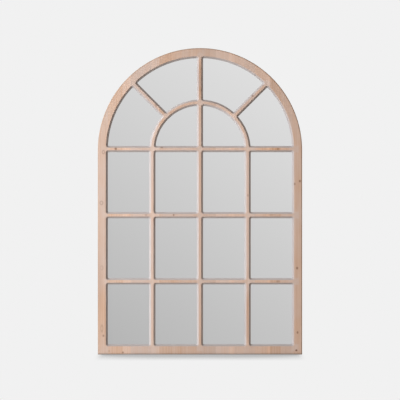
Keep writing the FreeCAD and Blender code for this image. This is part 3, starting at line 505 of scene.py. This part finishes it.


# wood colour = raw wood with lime mixed over, times the tone, with the knots laid in last
# The lime's share goes by place: thin on the flats, most on slopes, less outside and least at the back.
# The tone is the stave's on the flats and none on slopes, times painted shade on the outer edge and along the
# foot.
def limedSoftwood(name, flatTone, slopeTone):
    material, tree, output = emptyMaterial(name)
    place = addNode(tree, "ShaderNodeTexCoord").outputs["Object"]
    along = addNode(tree, "ShaderNodeSeparateXYZ", {}, {0: place})
    staveTone, staveLime, pithChannel = staveChannels(tree, along.outputs["X"])
    late = lateWood(tree, place, pithChannel)
    rawWood = addNode(tree, "ShaderNodeMix", {"data_type": "RGBA"},
                      {"Factor": late, 6: linearColour(woodValues["rawEarly"]),
                       7: linearColour(woodValues["rawLate"])})

    # where the point is: outside, at the back, on a slope between the front face and the lip, or at the foot
    reach = outwardReach(tree, along)
    outside = softStep(tree, reach, placeValues["outside"])
    atBack = softStep(tree, along.outputs["Y"], placeValues["back"])
    behindFace = softStep(tree, along.outputs["Y"], placeValues["slope"])
    inside = softStep(tree, reach, placeValues["inside"])
    onSlope = addNode(tree, "ShaderNodeMath", {"operation": "MULTIPLY"},
                      {0: behindFace, 1: inside}).outputs[0]
    atFoot = softStep(tree, along.outputs["Z"], placeValues["foot"])

    # lime: first the flats, outside and back, then the slopes
    outsideShare = addNode(tree, "ShaderNodeMapRange", {},
                           {"Value": outside, "To Min": 1.0, "To Max": woodValues["outsideCover"]})
    faceCover = addNode(tree, "ShaderNodeMath", {"operation": "MULTIPLY"},
                        {0: flatLime(tree, place, along, staveLime, late), 1: outsideShare.outputs[0]})
    cover = addNode(tree, "ShaderNodeMix", {"data_type": "FLOAT"},
                    {"Factor": atBack, "A": faceCover.outputs[0], "B": woodValues["backCover"]})
    limedFlat = addNode(tree, "ShaderNodeMix", {"data_type": "RGBA"},
                        {"Factor": cover.outputs[0], 6: rawWood.outputs[2],
                         7: linearColour(woodValues["limeOnFlats"])})
    slopeShare = addNode(tree, "ShaderNodeMath", {"operation": "MULTIPLY"},
                         {0: onSlope, 1: woodValues["slopeCover"]})
    slopeLime = [c * slopeTone for c in linearColour(woodValues["limeOnSlopes"])[:3]] + [1.0]
    limed = addNode(tree, "ShaderNodeMix", {"data_type": "RGBA"},
                    {"Factor": slopeShare.outputs[0], 6: limedFlat.outputs[2], 7: slopeLime})

    # tone: the ramp holds each stave's less 0.5
    staveShare = addNode(tree, "ShaderNodeMath", {"operation": "MULTIPLY_ADD"},
                         {0: staveTone, 1: flatTone, 2: 0.5 * flatTone})
    # painted shade: the outer rounded edge is darkened in the colour
    outerShadeFactor = addNode(tree, "ShaderNodeMapRange", {},
                         {"Value": outside, "To Min": 1.0, "To Max": woodValues["outerEdgePaintedShade"]})
    # painted shade: the bottom edge, at the foot, is darkened in the colour
    footPaintedShade = addNode(tree, "ShaderNodeMapRange", {},
                       {"Value": atFoot, "To Min": 1.0, "To Max": woodValues["footPaintedShade"]})
    # both painted shades together: outer edge and foot
    paintedShadeFactor = addNode(tree, "ShaderNodeMath", {"operation": "MULTIPLY"},
                     {0: outerShadeFactor.outputs[0], 1: footPaintedShade.outputs[0]})
    placeTone = addNode(tree, "ShaderNodeMix", {"data_type": "FLOAT"},
                        {"Factor": onSlope, "A": staveShare.outputs[0], "B": 1.0})
    tone = addNode(tree, "ShaderNodeMath", {"operation": "MULTIPLY"},
                   {0: placeTone.outputs[0], 1: paintedShadeFactor.outputs[0]})
    toned = addNode(tree, "ShaderNodeVectorMath", {"operation": "SCALE"},
                    {0: limed.outputs[2], "Scale": tone.outputs[0]})
    knotted = addNode(tree, "ShaderNodeMix", {"data_type": "RGBA"},
                      {"Factor": knotDarkness(tree, place), 6: toned.outputs[0],
                       7: linearColour(woodValues["knot"])})

    # brushed grain stands a few tenths of a millimetre proud, and lime is duller than bare wood
    bump = addNode(tree, "ShaderNodeBump", {},
                   {"Height": late, "Strength": woodValues["grainStrength"],
                    "Distance": woodValues["grainDepth"]})
    roughness = addNode(tree, "ShaderNodeMapRange", {},
                        {"Value": cover.outputs[0], "To Min": woodValues["bareRoughness"],
                         "To Max": woodValues["limedRoughness"]})
    shader = addNode(tree, "ShaderNodeBsdfPrincipled", {},
                     {"Base Color": knotted.outputs[2], "Roughness": roughness.outputs[0],
                      "IOR": woodValues["refraction"], "Specular IOR Level": woodValues["specular"],
                      "Normal": bump.outputs[0]})
    tree.links.new(shader.outputs[0], output.inputs["Surface"])
    return material


# the wood's pieces, with the tone of their flats and of their slopes: the narrow bars are a little paler
woodenPieces = {
    "limedSoftwoodFrame": {"flats": 1.0, "slopes": 0.92,
                           "pieces": ["bottom_rail", "arch_crown", "right_stile", "left_stile",
                                      "arch_right_foot", "arch_left_foot", "arch_right_shoulder",
                                      "arch_left_shoulder"]},
    "limedSoftwoodBars": {"flats": 1.07, "slopes": 1.05,
                          "pieces": ["centre_bar", "left_bar", "right_bar", "lower_bar", "middle_bar",
                                     "springing_bar", "right_inner_arch", "left_inner_arch"]},
    "limedSoftwoodSpokes": {"flats": 1.0, "slopes": 0.94, "pieces": ["right_spoke", "left_spoke"]},
}
for name, values in woodenPieces.items():
    dressPieces(values["pieces"], limedSoftwood(name, values["flats"], values["slopes"]))
print("limed wood made")


# mirror: float glass with silver behind it, which gives a clear, neutral grey image with faint smears
mirrorValues = {"silver": "#F1F1F1", "mostRoughness": 0.024, "smearSizeMm": 120}
material, tree, output = emptyMaterial("silveredFloatGlass")
place = addNode(tree, "ShaderNodeTexCoord").outputs["Object"]
smear = addNode(tree, "ShaderNodeTexNoise", {},
                {"Vector": place, "Scale": 1000 / mirrorValues["smearSizeMm"], "Detail": 4.0})
smearRoughness = addNode(tree, "ShaderNodeMapRange", {},
                         {"Value": smear.outputs["Fac"], "To Min": 0.0,
                          "To Max": mirrorValues["mostRoughness"]})
shader = addNode(tree, "ShaderNodeBsdfPrincipled", {},
                 {"Base Color": linearColour(mirrorValues["silver"]), "Metallic": 1.0,
                  "Roughness": smearRoughness.outputs[0]})
tree.links.new(shader.outputs[0], output.inputs["Surface"])
dressPieces(["mirror_glass"], material)
print("mirror made")


# backing board: bare fibreboard, pressed flat and brown, with short pale fibres in it
boardValues = {
    "board": "#7A5B3F",
    "fibre": "#A07F5C",
    "fibreLengthMm": 6,
    "roughness": 0.72,
    "refraction": 1.5,
    "bumpStrength": 0.3,
    "bumpDepth": 0.0004,
}
material, tree, output = emptyMaterial("bareFibreboard")
place = addNode(tree, "ShaderNodeTexCoord").outputs["Object"]
mottle = addNode(tree, "ShaderNodeTexNoise", {},
                 {"Vector": place, "Scale": 1000 / boardValues["fibreLengthMm"], "Detail": 6.0,
                  "Roughness": 0.7})
boardColour = addNode(tree, "ShaderNodeMix", {"data_type": "RGBA"},
                      {"Factor": mottle.outputs["Fac"], 6: linearColour(boardValues["board"]),
                       7: linearColour(boardValues["fibre"])})
bump = addNode(tree, "ShaderNodeBump", {},
               {"Height": mottle.outputs["Fac"], "Strength": boardValues["bumpStrength"],
                "Distance": boardValues["bumpDepth"]})
shader = addNode(tree, "ShaderNodeBsdfPrincipled", {},
                 {"Base Color": boardColour.outputs[2], "Roughness": boardValues["roughness"],
                  "IOR": boardValues["refraction"], "Normal": bump.outputs[0]})
tree.links.new(shader.outputs[0], output.inputs["Surface"])
dressPieces(["backing_board"], material)
print("backing board made")


# foam sheet: closed-cell polyethylene, white with fine round cells.
# It is pressed between the glass and the board, still lies in the low waves of its roll,
# and its cut edge bulges.
foamValues = {
    "foam": "#E8E8E2",
    "cellWidthMm": 2.2,
    "cellShade": 0.86,
    "roughness": 0.8,
    "bumpStrength": 0.4,
    "bumpDepth": 0.0003,
    "columns": 60,
    "sideRows": 64,
    "archRows": 40,
    "topAngle": 88,
    "bulge": 0.0004,
    "waveWidth": 0.09,
    "waveDepth": 0.0003,
}
foamLow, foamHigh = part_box("cushion_sheet")
foamReach = (foamHigh.x - foamLow.x) / 2
foamArch = foamHigh.z - foamReach


# the sheet's outline as a grid: rows climb the straight sides evenly, then the arch by equal angles
def foamGrid(inset):
    radius = foamReach - inset
    angles = np.linspace(0, math.radians(foamValues["topAngle"]), foamValues["archRows"])
    sides = np.linspace(foamLow.z + inset, foamArch, foamValues["sideRows"])[:-1]
    heights = np.concatenate([sides, foamArch + radius * np.sin(angles)])
    halves = np.concatenate([np.full(len(sides), radius), radius * np.cos(angles)])
    shares = np.linspace(-1, 1, foamValues["columns"])
    return np.outer(halves, shares), np.repeat(heights[:, None], len(shares), 1)


# two waved faces and a rim between them: thickness = full - depth x (1 + sine across x sine up)
def foamSheet():
    x, z = foamGrid(foamValues["bulge"])
    turns = 2 * math.pi / foamValues["waveWidth"]
    wave = foamValues["waveDepth"] * (1 + np.sin(turns * x) * np.sin(turns * z)) / 2
    front = np.stack([x, foamLow.y + wave, z], -1)
    back = np.stack([x, foamHigh.y - wave, z], -1)
    outerX, outerZ = foamGrid(0)
    rim = np.stack([outerX, np.full(x.shape, (foamLow.y + foamHigh.y) / 2), outerZ], -1)
    index = np.arange(x.size).reshape(x.shape)
    around = np.concatenate([index[0, :-1], index[:-1, -1], index[-1, :0:-1], index[:0:-1, 0]])
    corners = np.concatenate([front.reshape(-1, 3), back.reshape(-1, 3), rim.reshape(-1, 3)[around]])
    quads = np.stack([index[:-1, :-1], index[:-1, 1:], index[1:, 1:], index[1:, :-1]], -1).reshape(-1, 4)
    ring = 2 * x.size + np.arange(len(around))
    nextRing, nextAround = np.roll(ring, -1), np.roll(around, -1)
    frontRim = np.stack([around, nextAround, nextRing, ring], -1)
    backRim = np.stack([ring, nextRing, nextAround + x.size, around + x.size], -1)
    faces = np.concatenate([quads, quads[:, ::-1] + x.size, frontRim, backRim])
    mesh = bpy.data.meshes.new("foamSheet")
    mesh.from_pydata(corners.tolist(), [], faces.tolist())
    shell = bmesh.new()
    shell.from_mesh(mesh)
    bmesh.ops.recalc_face_normals(shell, faces=shell.faces)
    shell.to_mesh(mesh)
    shell.free()
    mesh.polygons.foreach_set("use_smooth", [True] * len(mesh.polygons))
    sheet = bpy.data.objects.new("foamSheet", mesh)
    bpy.context.scene.collection.objects.link(sheet)
    return sheet


material, tree, output = emptyMaterial("closedCellFoam")
place = addNode(tree, "ShaderNodeTexCoord").outputs["Object"]
cells = addNode(tree, "ShaderNodeTexVoronoi", {},
                {"Vector": place, "Scale": 1000 / foamValues["cellWidthMm"]})
cellTone = addNode(tree, "ShaderNodeMapRange", {},
                   {"Value": cells.outputs["Distance"], "To Min": foamValues["cellShade"], "To Max": 1.0})
foamColour = addNode(tree, "ShaderNodeVectorMath", {"operation": "SCALE"},
                     {0: linearColour(foamValues["foam"])[:3], "Scale": cellTone.outputs[0]})
bump = addNode(tree, "ShaderNodeBump", {},
               {"Height": cells.outputs["Distance"], "Strength": foamValues["bumpStrength"],
                "Distance": foamValues["bumpDepth"]})
shader = addNode(tree, "ShaderNodeBsdfPrincipled", {},
                 {"Base Color": foamColour.outputs[0], "Roughness": foamValues["roughness"],
                  "Normal": bump.outputs[0]})
tree.links.new(shader.outputs[0], output.inputs["Surface"])
foam = foamSheet()
foam.data.materials.append(material)
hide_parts("cushion_sheet")
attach(foam, "frame")
print("foam sheet made")


# steel: zinc-plated screws with a mottled, slightly green-grey skin, and nickel-plated straps and rings,
# which are smoother and warmer
steelValues = {
    "zincPlatedSteel": {"colour": "#C4C6C4", "dull": "#8F9290", "roughness": 0.36, "patchMm": 4,
                        "pieces": ["backing_screws", "hanger_screws"]},
    "nickelPlatedSteel": {"colour": "#CFCBC2", "dull": "#A9A49A", "roughness": 0.22, "patchMm": 8,
                          "pieces": ["right_hanger_strap", "left_hanger_strap", "right_hanging_ring",
                                     "left_hanging_ring"]},
}
wearValues = {"smoothest": 0.7, "roughest": 1.4, "bumpStrength": 0.15, "bumpDepth": 0.0001}
for name, values in steelValues.items():
    material, tree, output = emptyMaterial(name)
    place = addNode(tree, "ShaderNodeTexCoord").outputs["Object"]
    patch = addNode(tree, "ShaderNodeTexNoise", {},
                    {"Vector": place, "Scale": 1000 / values["patchMm"], "Detail": 5.0})
    plate = addNode(tree, "ShaderNodeMix", {"data_type": "RGBA"},
                    {"Factor": patch.outputs["Fac"], 6: linearColour(values["colour"]),
                     7: linearColour(values["dull"])})
    worn = addNode(tree, "ShaderNodeMapRange", {},
                   {"Value": patch.outputs["Fac"], "To Min": values["roughness"] * wearValues["smoothest"],
                    "To Max": values["roughness"] * wearValues["roughest"]})
    bump = addNode(tree, "ShaderNodeBump", {},
                   {"Height": patch.outputs["Fac"], "Strength": wearValues["bumpStrength"],
                    "Distance": wearValues["bumpDepth"]})
    shader = addNode(tree, "ShaderNodeBsdfPrincipled", {},
                     {"Base Color": plate.outputs[2], "Metallic": 1.0, "Roughness": worn.outputs[0],
                      "Normal": bump.outputs[0]})
    tree.links.new(shader.outputs[0], output.inputs["Surface"])
    dressPieces(values["pieces"], material)
print("screws, straps and rings finished")


# dowels: turned beech, pale pinkish brown with short flecks along the grain
dowelValues = {
    "beech": "#CDA67E",
    "fleck": "#A97F58",
    "fleckWidthMm": 1.2,
    "fleckStretch": (1.0, 1.0, 0.15),
    "roughness": 0.5,
    "refraction": 1.5,
}
material, tree, output = emptyMaterial("turnedBeech")
place = addNode(tree, "ShaderNodeTexCoord").outputs["Object"]
fleckPlace = addNode(tree, "ShaderNodeVectorMath", {"operation": "MULTIPLY"},
                     {0: place, 1: dowelValues["fleckStretch"]})
flecks = addNode(tree, "ShaderNodeTexNoise", {},
                 {"Vector": fleckPlace.outputs[0], "Scale": 1000 / dowelValues["fleckWidthMm"],
                  "Detail": 3.0})
beech = addNode(tree, "ShaderNodeMix", {"data_type": "RGBA"},
                {"Factor": flecks.outputs["Fac"], 6: linearColour(dowelValues["beech"]),
                 7: linearColour(dowelValues["fleck"])})
shader = addNode(tree, "ShaderNodeBsdfPrincipled", {},
                 {"Base Color": beech.outputs[2], "Roughness": dowelValues["roughness"],
                  "IOR": dowelValues["refraction"]})
tree.links.new(shader.outputs[0], output.inputs["Surface"])
dressPieces(["corner_dowels", "springing_dowels", "arch_dowels"], material)
print("dowels finished")


# bumpers: soft black rubber, moulded, with a dusty bloom
rubberValues = {
    "rubber": "#1D1C1B",
    "bloom": "#3A3836",
    "gritMm": 1.5,
    "roughness": 0.75,
    "refraction": 1.52,
    "bumpStrength": 0.2,
    "bumpDepth": 0.0002,
}
material, tree, output = emptyMaterial("mouldedRubber")
place = addNode(tree, "ShaderNodeTexCoord").outputs["Object"]
bloom = addNode(tree, "ShaderNodeTexNoise", {},
                {"Vector": place, "Scale": 1000 / rubberValues["gritMm"], "Detail": 4.0})
rubber = addNode(tree, "ShaderNodeMix", {"data_type": "RGBA"},
                 {"Factor": bloom.outputs["Fac"], 6: linearColour(rubberValues["rubber"]),
                  7: linearColour(rubberValues["bloom"])})
bump = addNode(tree, "ShaderNodeBump", {},
               {"Height": bloom.outputs["Fac"], "Strength": rubberValues["bumpStrength"],
                "Distance": rubberValues["bumpDepth"]})
shader = addNode(tree, "ShaderNodeBsdfPrincipled", {},
                 {"Base Color": rubber.outputs[2], "Roughness": rubberValues["roughness"],
                  "IOR": rubberValues["refraction"], "Normal": bump.outputs[0]})
tree.links.new(shader.outputs[0], output.inputs["Surface"])
dressPieces(["wall_bumpers"], material)
print("bumpers finished")
